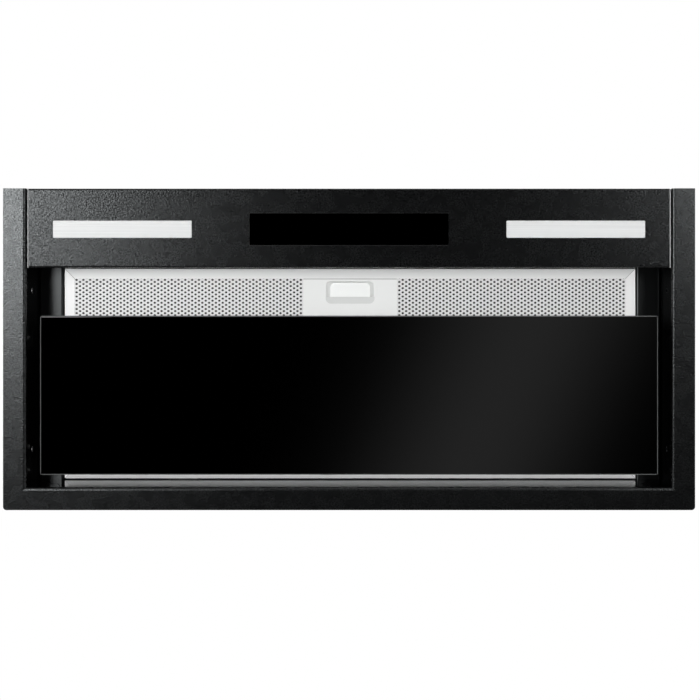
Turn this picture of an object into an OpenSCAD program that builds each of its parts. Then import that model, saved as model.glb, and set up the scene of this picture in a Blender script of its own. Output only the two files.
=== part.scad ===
// Built-in cooker hood with perimeter suction: a black frame round a recessed well, a front
// control band, one large aluminium grease filter and a hinged glass panel under it.
// Millimetres. X runs to the right, Y towards the wall, Z up.
// The origin is on the upper face of the rear strip, where the hood seats on the cabinet.

/* [Frame] */
// Width over the side strips
frame_w = 600; // [560:1:640]
// Depth from the front edge to the rear edge
frame_d = 279; // [272:1:300]
// Distance from the origin back to the rear edge
origin_back = 10; // [8:0.5:12]
// Width of each side strip, measured to the well's wall
side_strip_w = 19.7; // [18:0.1:22]
// Width of the rear strip, measured to the well's wall
rear_strip_w = 19.3; // [18:0.1:22]
// Thickness of the folded steel sheet
sheet_t = 1.2; // [1:0.1:1.4]
// Outer radius where the strips fold up into the well
bend_r = 2.5; // [2:0.1:3]
// Radius of the frame's two rear corners
corner_r = 3; // [1:0.5:6]
// Height from the frame's underside to the filter's underside
well_h = 45; // [42:0.5:55]
// Radius of the screw holes in the well's side walls
side_screw_r = 2.5; // [2:0.1:3]
// Distance between the two screw holes of a side wall
side_screw_pitch = 140; // [120:1:150]
// Distance of the screw holes' midpoint in front of the origin
side_screw_y = 110; // [105:1:115]
// Height of the screw holes above the seat
side_screw_z = 20; // [16:0.5:24]

/* [Control band] */
// Distance of the band behind the strips' front ends
band_inset = 0.2; // [0:0.1:4]
// Depth of the band
band_d = 68.6; // [62:0.2:72]
// Gap between the band's ends and the well's side walls
band_gap = 1; // [0.4:0.1:2]
// Outer radius of the band's folded edges
band_r = 1.6; // [1.4:0.1:2.4]
// Distance of the lamps' and the display's centre line behind the front edge
control_y = 35.5; // [32:0.5:38]
// Length of a lamp
lamp_w = 120.6; // [100:0.2:130]
// Depth of a lamp
lamp_d = 15; // [12:0.5:20]
// Distance of each lamp's outer end from the well's side wall
lamp_inset = 23.4; // [20:0.1:30]
// Width of the touch display
display_w = 173; // [150:1:190]
// Depth of the touch display
display_d = 28.3; // [24:0.1:34]
// Thickness of the display glass
display_t = 1.6; // [1:0.1:2]
// Clearance round a lens or a display in its window
window_gap = 0.3; // [0.2:0.05:0.5]

/* [Filter] */
// Width of the ledges between the well's side walls and the filter's aperture
ledge_w = 22; // [20:0.1:24]
// Height of the filter's rails
filter_t = 9; // [8.6:0.2:11]
// Width of the rails seen from below
rail_w = 8.8; // [7:0.2:12]
// Thickness of the rails' aluminium strip
rail_t = 0.8; // [0.6:0.1:1]
// Gap between the filter and the well's front wall
filter_front_gap = 0.8; // [0.6:0.1:1.2]
// Gap between the filter and the well's rear wall
filter_rear_gap = 1; // [0.8:0.1:1.4]
// Gap between the filter and the deck's folded side edges
filter_side_gap = 0.8; // [0.5:0.1:1.5]
// Gap between the filter's top and its seat
seat_gap = 0.3; // [0.2:0.05:0.5]
// Width of the seat above the filter's edge
seat_w = 12; // [10:0.5:14]
// Pitch of the perforation along the width
perf_pitch_x = 15; // [12:0.5:20]
// Pitch of the perforation's rows
perf_pitch_y = 9; // [7:0.5:12]
// Radius of a perforation
perf_r = 2.6; // [1.5:0.1:3]
// Width of a rear hook tab
tab_w = 25; // [18:1:35]
// Distance of each hook tab from the middle
tab_x = 150; // [120:1:180]
// Thickness of a hook tab
tab_t = 2; // [1.5:0.1:2.4]
// Height of the hook tabs above the filter's underside
tab_rise = 3.2; // [2.8:0.1:4]

/* [Latch] */
// Width of the latch plate
latch_w = 85; // [80:1:100]
// Depth of the latch plate behind the front rail
latch_d = 50; // [46:0.5:60]
// Width of the finger recess
recess_w = 44.2; // [38:0.2:46]
// Depth of the finger recess, front to rear
recess_d = 20.5; // [19:0.1:22]
// Distance of the finger recess behind the filter's front edge
recess_y = 11; // [10.4:0.1:12]
// Radius of the finger recess's corners
recess_r = 5; // [3:0.5:7]
// Height of the finger recess
recess_h = 6.6; // [6:0.1:7]
// Travel of the latch slider
latch_travel = 6; // [4:0.1:6.2]
// Distance that the tongues reach past the well wall's face
tongue_reach = 1; // [0.6:0.1:1.1]
// Width of each tongue
tongue_w = 8; // [6:0.5:9]
// Thickness of the slider
slider_t = 1.5; // [1.2:0.1:1.6]
// Drop of the tongues that their windows leave free
tongue_drop = 3.4; // [3.2:0.1:4]

/* [Glass panel] */
// Gap between the glass panel and each of the well's side walls
glass_side_gap = 12.3; // [10:0.1:16]
// Depth of the glass panel
glass_d = 137.9; // [130:0.1:145]
// Thickness of the glass
glass_t = 4; // [3:0.5:5]
// Distance of the glass's rear edge in front of the well's rear wall
glass_rear_gap = 11.2; // [11:0.1:14]
// Distance of the hinge axis in front of the glass's rear edge
hinge_in = 8; // [7:0.1:9]
// Height of the hinge axis above the glass
hinge_up = 12; // [11:0.5:13]
// Inset of the steel carrier from the glass's side and front edges
carrier_inset = 12; // [11:0.5:14]
// Height of the carrier's folded walls
carrier_h = 7.4; // [6:0.1:8]
// Thickness of the carrier's sheet
carrier_t = 1; // [0.8:0.1:1.2]
// Radius of the hinge pins
hinge_pin_r = 2.5; // [2:0.1:3]
// Radial clearance of the panel's ears on the hinge pins
hinge_fit = 0.05; // [0.03:0.01:0.08]
// Radius of a catch magnet
magnet_r = 6; // [5:0.5:7]
// Height of a catch magnet
magnet_h = 4; // [3:0.5:5]
// Air gap between a magnet and its strike
magnet_gap = 0.3; // [0.2:0.05:0.4]

/* [Housing] */
// Distance of the housing's side plates inside the filter's aperture
housing_inset = 9.3; // [8:0.1:10]
// Radius of the housing's upper bends
housing_r = 4; // [2:0.5:8]
// Height of the stiffening beads pressed out of the housing's walls
bead_h = 1.8; // [1:0.1:2.4]
// Radius of a bead's round section
bead_r = 8; // [6:0.5:12]
// Outer radius of the outlet collar
collar_r = 59.5; // [50:0.5:60]
// Wall of the outlet collar
collar_t = 1.8; // [1.4:0.1:2.2]
// Height of the outlet collar
collar_h = 55; // [45:1:70]
// Distance of the outlet collar from the housing's rear edge
outlet_margin = 4.5; // [3:0.5:8]
// Height of the flap pin above the housing
flap_pin_z = 9; // [8.5:0.5:14]
// Radius of the flap pin
flap_pin_r = 1.5; // [1.2:0.1:2]
// Thickness of a flap
flap_t = 1.2; // [1:0.1:1.4]

/* [Blower] */
// Gap between the scroll's rim and the housing's front and rear walls
scroll_wall_gap = 3.05; // [2.8:0.05:4]
// Depth of the blades, from the impeller's outside to its inside
blade_d = 11; // [8:0.5:14]
// Half the impeller's length
impeller_half = 50; // [40:1:60]
// Number of blades
blade_n = 36; // [24:1:44]
// Thickness of a blade
blade_t = 1.2; // [0.9:0.1:1.6]
// Distance of the scroll's first arc from the impeller
scroll_gap = 8; // [7:0.5:9]
// Growth of the scroll's radius from one quarter to the next
scroll_step = 6; // [4:0.5:6.5]
// Wall of the scroll
scroll_t = 2; // [1.6:0.1:2.4]
// Overlap of the scroll's inlet edge with the blades
inlet_lap = 1; // [0.5:0.1:4]
// Rise of the scroll's outlet past the radius of its first arc
outlet_neck = 5; // [3:0.5:12]
// Clearance under the scroll
blower_clear = 13; // [8:1:20]
// Radius of the motor's can
motor_r = 38; // [34:0.5:42]
// Length of the motor's can
motor_len = 72; // [60:1:80]
// Radius of the motor shaft
shaft_r = 4; // [3:0.5:5]
// Radial clearance of the shaft in the motor
shaft_fit = 0.05; // [0.03:0.01:0.08]

/* [Electrics] */
// Width of the control box, along the housing's side plate
control_box_w = 110; // [90:1:130]
// Height of the control box
control_box_h = 90; // [70:1:100]
// Depth of the control box, out from the side plate
control_box_d = 28; // [22:1:34]
// Width of the junction box
junction_w = 80; // [60:1:90]
// Depth of the junction box
junction_d = 64; // [50:1:80]
// Height of the junction box
junction_h = 27; // [22:1:36]
// Radius of the cable gland's bore
gland_r = 4; // [3:0.1:4.5]
// Radius of the capacitor
capacitor_r = 14; // [11:0.5:17]
// Length of the capacitor
capacitor_len = 52; // [40:1:65]

/* [Hidden] */
$fn = 64;

// Amount by which a cutting shape runs past what it cuts
cut = 1;

// Levels, edges and walls of the frame and the deck
y_front = origin_back - frame_d;
well_x = frame_w / 2 - side_strip_w;
well_y = origin_back - rear_strip_w;
aperture_x = well_x - ledge_w;
filter_z = well_h - sheet_t;
filter_top = filter_z + filter_t;
seat_z = filter_top + seat_gap;
deck_top = seat_z + sheet_t;
deck_fold_h = 11.5;
wall_top = deck_top + deck_fold_h;
fold_in_r = bend_r - sheet_t;

// Control band
band_x = well_x - band_gap;
band_y0 = y_front + band_inset;
band_y1 = band_y0 + band_d;
control_mid = y_front + control_y;
lamp_x = well_x - lamp_inset - lamp_w / 2;
window_r = 1;
lens_lip = 3;
lens_lip_t = 1.5;
lamp_base_t = 2;
fin_h = 8;
fin_t = 1.4;
fin_n = 5;
board_lip = 5;
board_tray_h = 7;
board_wall = 1.6;
board_slot_pitch = 34;
board_slot_w = 26;
board_slot_margin = 5;
notch_inset = 14;
notch_r = 4;
cover_fold = 12;
cover_slot_n = 10;
cover_slot_pitch = 9;
cover_slot_len = 34;
cover_slot_w = 3;

// Filter and its seat in the deck
filter_x = aperture_x - filter_side_gap;
filter_y0 = band_y1 + filter_front_gap;
filter_y1 = well_y - filter_rear_gap;
seat_x = aperture_x + sheet_t - seat_w;
face_t = 0.8;
face_z = filter_z + rail_t;
back_z = filter_top - rail_t - face_t;
pack_play = 0.5;
tab_z = filter_z + tab_rise;
tab_reach = sheet_t * 0.75;
tab_slot_gap = 1.2;
mitre_w = 0.4;
mitre_h = 0.35;
perf_margin = perf_r + 1;

// Latch
recess_y0 = filter_y0 + recess_y;
recess_y1 = recess_y0 + recess_d;
cup_wall = 0.8;
cup_slope = 4.2;
cup_front_slope = 1.8;
cup_rear = 3.2;
lip_y = recess_y1 - latch_travel - 0.3;
lip_t = 1.5;
lip_h = 4.6;
arm_x = recess_w / 2 + cup_wall + 2;
slider_z = face_z + 0.1;
slider_gap = 0.2;
slider_rear = recess_y1 + 8;
tongue_y = band_y1 - tongue_reach;
pocket_x = arm_x + tongue_w + 1.5;
latch_y0 = filter_y0 + rail_w;
latch_y1 = latch_y0 + latch_d;
pocket_y1 = latch_y1 - 3;
spring_stop = 2;
spring_gap = 0.2;
spring_y0 = slider_rear + spring_gap;
spring_y1 = pocket_y1 - spring_stop - spring_gap;

// Glass panel, hinges and catches
panel_x = well_x - glass_side_gap;
panel_y1 = well_y - glass_rear_gap;
panel_y0 = panel_y1 - glass_d;
glass_z = -sheet_t;
glass_top = glass_z + glass_t;
tape_t = 0.6;
carrier_z = glass_top + tape_t;
carrier_x = panel_x - carrier_inset;
carrier_y0 = panel_y0 + carrier_inset;
hinge_y = panel_y1 - hinge_in;
hinge_z = glass_top + hinge_up;
carrier_y1 = hinge_y - 4;
carrier_top = carrier_z + carrier_h;
ear_r = 6;
ear_t = 1.5;
bracket_t = 1.5;
bracket_gap = 0.5;
bracket_x = aperture_x + bend_r + 1.7;
ear_x = bracket_x - bracket_gap - ear_t;
foot_w = 12;
foot_len = 30;
catch_w = 16;
magnet_x = carrier_x - magnet_r + 1;
magnet_y = carrier_y0 + magnet_r + 3;
magnet_z = carrier_top + magnet_gap;
shelf_z = magnet_z + magnet_h;

// Housing and blower
housing_x = aperture_x - housing_inset;
housing_y0 = band_y1 + sheet_t;
housing_y1 = well_y - sheet_t;
scroll_rim = 4;
scroll_rim_t = 3;
scroll_margin = sheet_t + scroll_wall_gap + scroll_rim + scroll_t;
first_r = (housing_y1 - housing_y0 - 3 * scroll_step) / 2 - scroll_margin;
second_r = first_r + scroll_step;
third_r = second_r + scroll_step;
impeller_r = first_r - scroll_gap;
blade_in_r = impeller_r - blade_d;
inlet_r = blade_in_r - inlet_lap;
blower_mid = housing_y0 + scroll_margin + first_r + scroll_step / 2;
outlet_rise = first_r + outlet_neck;
inlet_side = 5;
scroll_x = impeller_half + inlet_side;
blower_z = deck_top + blower_clear + scroll_rim + scroll_t + second_r + scroll_step / 2;
roof_in = blower_z + outlet_rise;
roof = roof_in + sheet_t;
outlet_mid = housing_y1 - outlet_margin - collar_r;
collar_in = collar_r - collar_t;
collar_base_t = 2;
flange_t = 3;
bell_r = 6;
bell_t = 1.5;
bead_n = 2;
bead_margin = 34;
bush_r = 4.5;
bush_gap = 3;
bush_ring_r = inlet_r + bell_r + bush_gap + bush_r;
bush_len = 7.5;
arm_w = 14;
motor_bracket_t = 2;
motor_x1 = -12;
hub_len = 12;
shaft_tail = 6;
shaft_nose = 2;
motor_x0 = motor_x1 - motor_len;
bracket_x0 = -(scroll_x + scroll_t + bush_len + motor_bracket_t);

// Flaps
pin_z = roof + flap_pin_z;
knuckle_r = flap_pin_r + 1.3;
knuckle_fit = 0.06;
flap_start = knuckle_r + 0.7;
flap_r = collar_in - 1;
boss_r = flap_pin_r + 2;
boss_len = 3.5;
stop_w = 2.4;
stop_h = 2;
stop_gap = 0.3;

// Rivets
rivet_r = 1.6;
rivet_head_r = 3.2;
rivet_head_h = 1.4;
rivet_x = (housing_x + aperture_x) / 2;
rivet_margin = 22;
rivet_ys = [for (k = [0:2]) housing_y0 + rivet_margin + k * (housing_y1 - housing_y0 - 2 * rivet_margin) / 2];
rivet_z = deck_top + deck_fold_h / 2;

// Profile in the YZ plane, extruded from x0 to x1
module along_x(x0, x1) {
    translate([x0, 0, 0])
        rotate([90, 0, 90])
            linear_extrude(x1 - x0)
                children();
}

// Profile in the XZ plane, extruded from y0 to y1
module along_y(y0, y1) {
    translate([0, y1, 0])
        rotate([90, 0, 0])
            linear_extrude(y1 - y0)
                children();
}

// Profile in the XY plane, extruded from z0 to z1
module along_z(z0, z1) {
    translate([0, 0, z0])
        linear_extrude(z1 - z0)
            children();
}

// Block between two corners
module block(low, high) {
    translate(low)
        cube(high - low);
}

// Rectangle between two corners
module rect(low, high) {
    translate(low)
        square(high - low);
}

// Rectangle between two corners, with round corners
module round_rect(low, high, r) {
    rect([low[0] + r, low[1]], [high[0] - r, high[1]]);
    rect([low[0], low[1] + r], [high[0], high[1] - r]);
    for (x = [low[0] + r, high[0] - r])
        for (y = [low[1] + r, high[1] - r])
            translate([x, y])
                circle(r);
}

// Slot of width w and length len along Y with round ends, about the origin
module round_slot(w, len) {
    rect([-w / 2, (w - len) / 2], [w / 2, (len - w) / 2]);
    for (s = [-1, 1])
        translate([0, s * (len - w) / 2])
            circle(w / 2);
}

// A part made for the right-hand side, put on the side that is asked for
module on_side(side) {
    if (side < 0)
        mirror([1, 0, 0])
            children();
    else
        children();
}

// Quarter of a bent sheet with its centre at p, lying in the quadrant that sx and sy name
module bend(p, r_out, r_in, sx, sy) {
    translate(p)
        scale([sx, sy])
            difference() {
                intersection() {
                    circle(r_out);
                    square(r_out + cut);
                }
                circle(r_in);
            }
}

// Opening of the given half width whose lower edges flare out by r
module flared_width(half, base, r, top) {
    rect([-half, base], [half, top]);
    difference() {
        rect([-half - r, base], [half + r, base + r]);
        for (s = [-1, 1])
            translate([s * (half + r), base + r])
                circle(r);
    }
}

// The same with one flared edge, at the rear
module flared_rear(front, edge, base, r, top) {
    rect([front, base], [edge, top]);
    difference() {
        rect([edge - cut, base], [edge + r, base + r]);
        translate([edge + r, base + r])
            circle(r);
    }
}

// Box whose lower corners are rounded by r, in a plane of width and height
module round_foot(low, high, r) {
    rect([low[0] + r, low[1]], [high[0] - r, high[1]]);
    rect([low[0], low[1] + r], high);
    for (x = [low[0] + r, high[0] - r])
        translate([x, low[1] + r])
            circle(r);
}

// Frame: strips, folded edges and the well's side and rear walls

module well_cavity() {
    reach = bend_r + cut;
    intersection() {
        along_y(y_front - cut, well_y + reach)
            flared_width(well_x, -sheet_t, bend_r, wall_top + cut);
        along_x(-well_x - reach, well_x + reach)
            flared_rear(y_front - cut, well_y, -sheet_t, bend_r, wall_top + cut);
    }
    block([-well_x - bend_r, y_front - cut, -sheet_t - cut],
        [well_x + bend_r, well_y + bend_r, -sheet_t]);
}

module well_envelope() {
    reach = bend_r + cut;
    intersection() {
        along_y(y_front, well_y + reach)
            flared_width(well_x + sheet_t, 0, fold_in_r, wall_top);
        along_x(-well_x - reach, well_x + reach)
            flared_rear(y_front, well_y + sheet_t, 0, fold_in_r, wall_top);
    }
}

module frame_plate() {
    along_z(-sheet_t, 0) {
        round_rect([-frame_w / 2, y_front], [frame_w / 2, origin_back], corner_r);
        rect([-frame_w / 2, y_front], [frame_w / 2, 0]);
    }
}

module side_screw_holes() {
    for (s = [-1, 1])
        translate([0, -side_screw_y + s * side_screw_pitch / 2, side_screw_z])
            rotate([0, 90, 0])
                cylinder(h = frame_w, r = side_screw_r, center = true);
}

module tab_slots() {
    for (s = [-1, 1])
        block(
            [s * tab_x - tab_w / 2 - tab_slot_gap, well_y - cut, tab_z - tab_slot_gap],
            [s * tab_x + tab_w / 2 + tab_slot_gap, well_y + sheet_t + cut, tab_z + tab_t + tab_slot_gap]
        );
}

module deck_rivet_holes(x_sign, y0, y1) {
    translate([x_sign * rivet_x, y0, rivet_z])
        rotate([-90, 0, 0])
            cylinder(h = y1 - y0, r = rivet_r);
}

module frame() {
    color("#17181a")
        difference() {
            union() {
                frame_plate();
                well_envelope();
            }
            well_cavity();
            side_screw_holes();
            tab_slots();
            for (s = [-1, 1])
                deck_rivet_holes(s, well_y - cut, well_y + sheet_t + cut);
        }
}

// Control band: a folded tray whose rear wall is the well's front wall

module band_block(inset, base, top) {
    r = band_r - inset;
    intersection() {
        along_y(band_y0 - cut, band_y1 + cut)
            round_foot([-band_x + inset, base], [band_x - inset, top], r);
        along_x(-band_x - cut, band_x + cut)
            round_foot([band_y0 + inset, base], [band_y1 - inset, top], r);
    }
}

module lamp_window(side) {
    translate([side * lamp_x, control_mid])
        round_rect([-lamp_w / 2, -lamp_d / 2], [lamp_w / 2, lamp_d / 2], window_r);
}

module display_window() {
    translate([0, control_mid])
        round_rect([-display_w / 2, -display_d / 2], [display_w / 2, display_d / 2], window_r);
}

// Windows for the two tongues, with room for them to drop while they draw back
module tongue_windows() {
    for (s = [-1, 1])
        block(
            [s * (arm_x + tongue_w / 2) - tongue_w / 2 - window_gap * 2, band_y1 - sheet_t - cut,
                slider_z - tongue_drop],
            [s * (arm_x + tongue_w / 2) + tongue_w / 2 + window_gap * 2, band_y1 + cut,
                slider_z + slider_t + window_gap]
        );
}

// Notches that lighten the tray's end walls and let the wiring through
module end_notches() {
    for (s = [-1, 1])
        along_x(s * band_x - sheet_t - cut, s * band_x + sheet_t + cut)
            round_rect([band_y0 + notch_inset, wall_top / 2],
                [band_y1 - notch_inset, wall_top + notch_r + cut], notch_r);
}

module control_band() {
    color("#141516")
        difference() {
            band_block(0, -sheet_t, wall_top);
            band_block(sheet_t, 0, wall_top + cut);
            along_z(-sheet_t - cut, cut) {
                lamp_window(-1);
                lamp_window(1);
                display_window();
            }
            tongue_windows();
            end_notches();
            for (s = [-1, 1])
                deck_rivet_holes(s, band_y1 - sheet_t - cut, band_y1 + cut);
        }
}

// Cover of the control compartment, with cooling slots
module control_cover() {
    color("#8d9092")
        difference() {
            union() {
                block([-band_x, band_y0, wall_top], [band_x, housing_y0, wall_top + sheet_t]);
                block([-band_x, housing_y0 - sheet_t, wall_top],
                    [band_x, housing_y0, wall_top + cover_fold]);
                block([-band_x, band_y0, wall_top], [band_x, band_y0 + sheet_t, wall_top + cover_fold / 2]);
            }
            along_z(wall_top - cut, wall_top + sheet_t + cut)
                for (s = [-1, 1])
                    for (k = [0:cover_slot_n - 1])
                        translate([s * lamp_x + (k - (cover_slot_n - 1) / 2) * cover_slot_pitch, control_mid])
                            round_slot(cover_slot_w, cover_slot_len);
        }
}

// Lamps: a frosted lens with a lip behind the window, and a finned module behind it

module lamp_lens(side) {
    color("#f2f3f1")
        translate([side * lamp_x, control_mid, 0]) {
            along_z(-sheet_t - 0.2, 0)
                round_rect([-lamp_w / 2 + window_gap, -lamp_d / 2 + window_gap],
                    [lamp_w / 2 - window_gap, lamp_d / 2 - window_gap], window_r - window_gap);
            along_z(0, lens_lip_t)
                round_rect([-lamp_w / 2 - lens_lip, -lamp_d / 2 - lens_lip],
                    [lamp_w / 2 + lens_lip, lamp_d / 2 + lens_lip], window_r + lens_lip);
        }
}

module lamp_lens_left() {
    lamp_lens(-1);
}

module lamp_lens_right() {
    lamp_lens(1);
}

module lamp_module(side) {
    half_d = lamp_d / 2 + lens_lip;
    pitch = (2 * half_d - fin_t) / (fin_n - 1);
    color("#b9bcbe")
        translate([side * lamp_x, control_mid, lens_lip_t])
            along_x(-lamp_w / 2 - lens_lip, lamp_w / 2 + lens_lip) {
                rect([-half_d, 0], [half_d, lamp_base_t]);
                for (k = [0:fin_n - 1])
                    rect([-half_d + k * pitch, 0], [-half_d + k * pitch + fin_t, lamp_base_t + fin_h]);
            }
}

module lamp_module_left() {
    lamp_module(-1);
}

module lamp_module_right() {
    lamp_module(1);
}

// Touch display: a glass in the window, and the tray that carries its board

module touch_glass() {
    color("#050506")
        translate([0, control_mid, 0])
            along_z(-display_t, 0)
                round_rect([-display_w / 2 + window_gap, -display_d / 2 + window_gap],
                    [display_w / 2 - window_gap, display_d / 2 - window_gap], window_r - window_gap);
}

module touch_board() {
    half_w = display_w / 2 + board_lip;
    half_d = display_d / 2 + board_lip;
    slots = floor(2 * (half_w - board_slot_margin) / board_slot_pitch);
    tray_r = board_wall + 1.5;
    color("#2b2d2f")
        translate([0, control_mid, 0])
            difference() {
                along_z(0, board_tray_h)
                    round_rect([-half_w, -half_d], [half_w, half_d], tray_r);
                along_z(board_wall, board_tray_h - board_wall)
                    round_rect([-half_w + board_wall, -half_d + board_wall],
                        [half_w - board_wall, half_d - board_wall], tray_r - board_wall);
                along_z(board_tray_h - board_wall - cut, board_tray_h + cut)
                    for (k = [0:slots - 1])
                        translate([(k - (slots - 1) / 2) * board_slot_pitch, 0])
                            round_rect([-board_slot_w / 2, -half_d + board_slot_margin],
                                [board_slot_w / 2, half_d - board_slot_margin], 2);
            }
}

// Filter deck: ledges beside the filter, their folded edges and the seat above the filter

module deck_side_profile() {
    ledge_top = filter_z + sheet_t;
    flat0 = aperture_x + bend_r;
    flat1 = well_x - bend_r;
    rect([flat0, filter_z], [flat1, ledge_top]);
    bend([flat0, filter_z + bend_r], bend_r, fold_in_r, -1, -1);
    bend([flat1, filter_z + bend_r], bend_r, fold_in_r, 1, -1);
    rect([aperture_x, filter_z + bend_r], [aperture_x + sheet_t, deck_top - bend_r]);
    rect([well_x - sheet_t, filter_z + bend_r], [well_x, deck_top]);
    bend([aperture_x + sheet_t - bend_r, deck_top - bend_r], bend_r, fold_in_r, 1, 1);
    rect([seat_x, seat_z], [aperture_x + sheet_t - bend_r, deck_top]);
}

module filter_deck() {
    color("#1b1c1e")
        difference() {
            union() {
                for (s = [-1, 1])
                    on_side(s)
                        along_y(band_y1, well_y)
                            deck_side_profile();
                for (edge = [[band_y1, band_y1 + seat_w], [well_y - seat_w, well_y]])
                    block([-seat_x - cut, edge[0], seat_z], [seat_x + cut, edge[1], deck_top]);
                for (y = [band_y1, well_y - sheet_t])
                    block([-aperture_x, y, deck_top - cut], [aperture_x, y + sheet_t, wall_top]);
            }
            for (s = [-1, 1]) {
                deck_rivet_holes(s, band_y1 - cut, well_y + cut);
                for (y = rivet_ys)
                    translate([s * rivet_x, y, seat_z - cut])
                        cylinder(h = sheet_t + 2 * cut, r = rivet_r);
            }
        }
}

// Rivet along +Z from the origin: shank of length len, round head above and flat head below
module rivet(len) {
    cylinder(h = len, r = rivet_r);
    intersection() {
        translate([0, 0, len - (rivet_head_r - rivet_head_h)])
            sphere(rivet_head_r);
        translate([-rivet_head_r, -rivet_head_r, len])
            cube([2 * rivet_head_r, 2 * rivet_head_r, rivet_head_h]);
    }
}

// Rivets between the deck's folds and the well's front and rear walls
module deck_rivets() {
    color("#c9cbcc")
        for (s = [-1, 1]) {
            translate([s * rivet_x, band_y1 - sheet_t, rivet_z])
                rotate([-90, 0, 0])
                    rivet(2 * sheet_t);
            translate([s * rivet_x, well_y + sheet_t, rivet_z])
                rotate([90, 0, 0])
                    rivet(2 * sheet_t);
        }
}

// Housing: a wrap folded over front, top and rear, and two side plates

module housing_profile(inset) {
    r = housing_r - inset;
    y0 = housing_y0 + inset;
    y1 = housing_y1 - inset;
    rect([y0, deck_top], [y1, roof - inset - r]);
    rect([y0 + r, deck_top], [y1 - r, roof - inset]);
    for (y = [y0 + r, y1 - r])
        translate([y, roof - inset - r])
            circle(r);
}

// Bead pressed out of a sheet whose outer face is the XY plane: its outside, or its hollow
module bead(len, hollow) {
    r = hollow ? bead_r - sheet_t : bead_r;
    base = hollow ? -bead_r : -sheet_t / 2;
    intersection() {
        translate([0, 0, bead_h - bead_r]) {
            translate([-len / 2, 0, 0])
                rotate([0, 90, 0])
                    cylinder(h = len, r = r);
            for (s = [-1, 1])
                translate([s * len / 2, 0, 0])
                    sphere(r);
        }
        translate([-len / 2 - bead_r, -bead_r, base])
            cube([len + 2 * bead_r, 2 * bead_r, 2 * bead_r]);
    }
}

// Heights of the beads, which share out the wall evenly
bead_zs = [for (k = [1:bead_n]) deck_top + k * (roof - deck_top) / (bead_n + 1)];

// Beads of the front and rear walls, and two in the roof beside the collar
module wrap_beads(hollow) {
    len = 2 * (housing_x - bead_margin);
    roof_x0 = collar_r + bead_margin;
    roof_x1 = housing_x - bead_margin;
    depth = housing_y1 - housing_y0;
    for (z = bead_zs) {
        translate([0, housing_y0, z])
            rotate([90, 0, 0])
                bead(len, hollow);
        translate([0, housing_y1, z])
            rotate([-90, 0, 0])
                bead(len, hollow);
    }
    for (k = [1:bead_n])
        translate([(roof_x0 + roof_x1) / 2, housing_y0 + k * depth / (bead_n + 1), roof])
            bead(roof_x1 - roof_x0, hollow);
}

// Beads of the right side plate
module side_beads(hollow) {
    for (z = bead_zs)
        translate([housing_x, (housing_y0 + housing_y1) / 2, z])
            rotate([90, 0, 90])
                bead(housing_y1 - housing_y0 - 2 * bead_margin, hollow);
}

module housing_wrap() {
    color("#9da1a3")
        difference() {
            union() {
                along_x(-housing_x + sheet_t, housing_x - sheet_t)
                    difference() {
                        housing_profile(0);
                        housing_profile(sheet_t);
                        rect([housing_y0 + sheet_t, deck_top - cut], [housing_y1 - sheet_t, deck_top + cut]);
                    }
                wrap_beads(false);
            }
            wrap_beads(true);
            along_z(roof_in - cut, roof + cut)
                intersection() {
                    translate([0, outlet_mid])
                        circle(collar_in);
                    rect([-scroll_x, blower_mid - scroll_step / 2],
                        [scroll_x, blower_mid + scroll_step / 2 + third_r]);
                }
        }
}

module housing_side(side) {
    color("#9da1a3")
        on_side(side)
            difference() {
                union() {
                    along_x(housing_x - sheet_t, housing_x)
                        housing_profile(0);
                    block([housing_x - sheet_t, housing_y0, deck_top],
                        [aperture_x + sheet_t - bend_r, housing_y1, deck_top + sheet_t]);
                    side_beads(false);
                }
                side_beads(true);
                for (y = rivet_ys)
                    translate([rivet_x, y, deck_top - cut])
                        cylinder(h = sheet_t + 2 * cut, r = rivet_r);
            }
}

module housing_side_left() {
    housing_side(-1);
}

module housing_side_right() {
    housing_side(1);
}

module housing_rivets() {
    color("#c9cbcc")
        for (s = [-1, 1])
            for (y = rivet_ys)
                translate([s * rivet_x, y, seat_z])
                    rivet(2 * sheet_t);
}

// Blower: scroll halves, impeller, motor and its mounting

// Inside of the scroll, grown by d: three quarter arcs about stepped centres and the outlet
module scroll_shape(d) {
    h = scroll_step / 2;
    far = third_r + scroll_step + d + cut;
    intersection() {
        translate([-h, -h])
            circle(first_r + d);
        rect([-far, -h], [-h, far]);
    }
    intersection() {
        translate([h, -h])
            circle(second_r + d);
        rect([-far, -far], [h, -h]);
    }
    intersection() {
        translate([h, h])
            circle(third_r + d);
        rect([h, -far], [far, h]);
    }
    rect([-h - d, -h], [h + third_r + d, outlet_rise]);
}

// Right half of the scroll, from the middle plane to its inlet
module scroll_half() {
    flange = 3.5;
    h = scroll_step / 2;
    difference() {
        union() {
            along_x(0, scroll_x + scroll_t)
                scroll_shape(scroll_t);
            along_x(0, scroll_rim_t)
                scroll_shape(scroll_t + scroll_rim);
            along_x(0, scroll_x + scroll_t + flange)
                rect([-h - scroll_t - flange, outlet_rise - flange_t],
                    [h + third_r + scroll_t + flange, outlet_rise]);
            rotate([0, 90, 0])
                translate([0, 0, scroll_x + scroll_t])
                    bell_mouth();
        }
        along_x(-cut, scroll_x) {
            scroll_shape(0);
            rect([-h, h], [h + third_r, outlet_rise + cut]);
        }
        rotate([0, 90, 0])
            cylinder(h = scroll_x + scroll_t + cut, r = inlet_r);
    }
}

// Flared lip of an inlet, standing on the side wall along +Z
module bell_mouth() {
    rotate_extrude()
        translate([inlet_r + bell_r, 0])
            difference() {
                intersection() {
                    circle(bell_r);
                    rect([-bell_r, 0], [0, bell_r]);
                }
                circle(bell_r - bell_t);
            }
}

module scroll(side) {
    color("#3a3d40")
        translate([0, blower_mid, blower_z])
            on_side(side)
                scroll_half();
}

module scroll_left() {
    scroll(-1);
}

module scroll_right() {
    scroll(1);
}

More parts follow.
